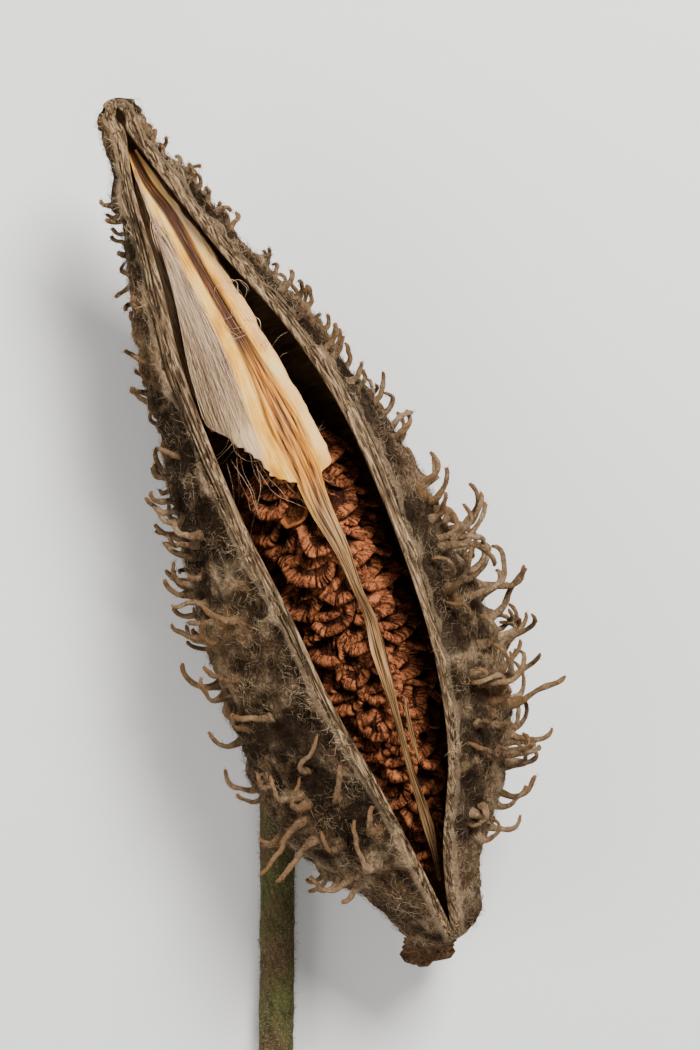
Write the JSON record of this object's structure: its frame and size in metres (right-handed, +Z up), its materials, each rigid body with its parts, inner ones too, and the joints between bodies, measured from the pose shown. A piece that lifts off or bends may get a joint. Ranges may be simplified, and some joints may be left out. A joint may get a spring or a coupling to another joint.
{
  "type": "milkweed seed pod",
  "caption": "Dried milkweed pod on a cut stalk, lying on its back with its split side up: a spiny husk open along one side around shingled seeds, a papery ribbon and silky floss.",
  "frame": {"origin": "middle of the part's footprint on the surface it lies on", "axes": "+Y from the pod's base to its tip, +X to the right of the split with the tip pointing away, +Z up, out of the split"},
  "size_m": [0.05, 0.1076, 0.0268],
  "materials": {
    "husk": "dry, corky and felted with short grey-brown wool",
    "seed": "dry red-brown seed coat with a paler rolled rim",
    "seed_ribbon": "thin papery membrane with an orange-brown fibrous strip",
    "silk_floss": "silvery white silk fibres",
    "stalk": "olive-brown dry stalk with pale fuzz",
    "sepal": "shrivelled dry brown sepals"
  },
  "bodies": {
    "root": {"husk": "husk", "inner_seeds": "seed", "seed_01": "seed", "seed_02": "seed", "seed_03": "seed", "seed_04": "seed", "seed_05": "seed", "seed_06": "seed", "seed_07": "seed", "seed_08": "seed", "seed_09": "seed", "seed_10": "seed", "seed_11": "seed", "seed_12": "seed", "seed_13": "seed", "seed_14": "seed", "seed_15": "seed", "seed_16": "seed", "seed_17": "seed", "seed_18": "seed", "seed_19": "seed", "seed_20": "seed", "seed_21": "seed", "seed_22": "seed", "seed_23": "seed", "seed_24": "seed", "seed_25": "seed", "seed_26": "seed", "seed_27": "seed", "seed_28": "seed", "seed_29": "seed", "seed_30": "seed", "seed_31": "seed", "seed_32": "seed", "seed_33": "seed", "seed_34": "seed", "seed_35": "seed", "seed_36": "seed", "seed_37": "seed", "seed_38": "seed", "seed_39": "seed", "seed_40": "seed", "seed_41": "seed", "seed_42": "seed", "seed_43": "seed", "seed_44": "seed", "seed_45": "seed", "seed_46": "seed", "seed_47": "seed", "seed_48": "seed", "seed_ribbon": "seed_ribbon", "silk_floss": "silk_floss", "stalk": "stalk", "sepal_01": "sepal", "sepal_02": "sepal", "sepal_03": "sepal", "sepal_04": "sepal", "sepal_05": "sepal"}
  },
  "joints": []
}
